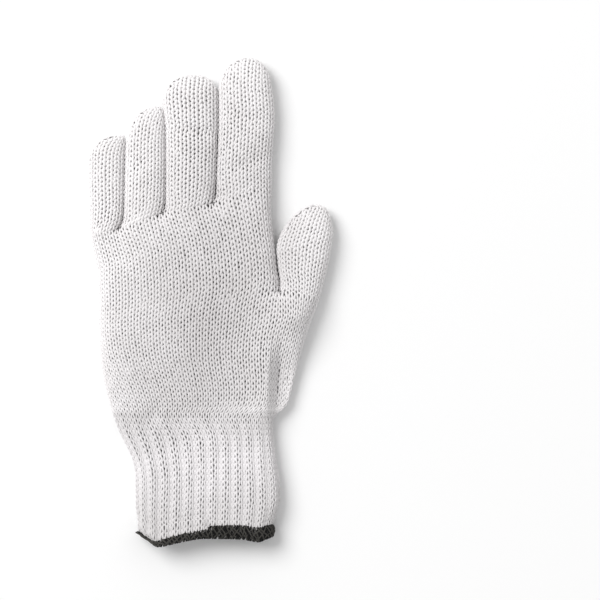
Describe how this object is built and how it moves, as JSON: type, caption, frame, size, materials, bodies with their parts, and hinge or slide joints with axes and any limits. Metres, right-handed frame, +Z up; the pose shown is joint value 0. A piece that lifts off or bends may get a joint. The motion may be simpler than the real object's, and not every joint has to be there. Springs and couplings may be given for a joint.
{
  "type": "knit glove",
  "caption": "String-knit work glove that fits either hand: full fingers and thumb, ribbed elastic cuff, dark overlocked hem.",
  "frame": {"origin": "below the middle of the outline, on the surface that the glove lies on", "axes": "+Y from the cuff to the fingertips, +X towards the thumb, +Z up out of the upper side"},
  "size_m": [0.121, 0.2441, 0.0174],
  "materials": {
    "knit_yarn": "off-white cotton and polyester string yarn, plain knit, matt and slightly fuzzy",
    "cuff_yarn": "off-white string yarn knitted with elastic into a soft rib, matt",
    "overlock_thread": "charcoal overlock thread, twisted, matt with a faint sheen"
  },
  "bodies": {
    "root": {"palm": "knit_yarn", "little_finger": "knit_yarn", "ring_finger": "knit_yarn", "middle_finger": "knit_yarn", "index_finger": "knit_yarn", "thumb": "knit_yarn", "rib_cuff": "cuff_yarn", "overlock_hem": "overlock_thread"}
  },
  "joints": []
}
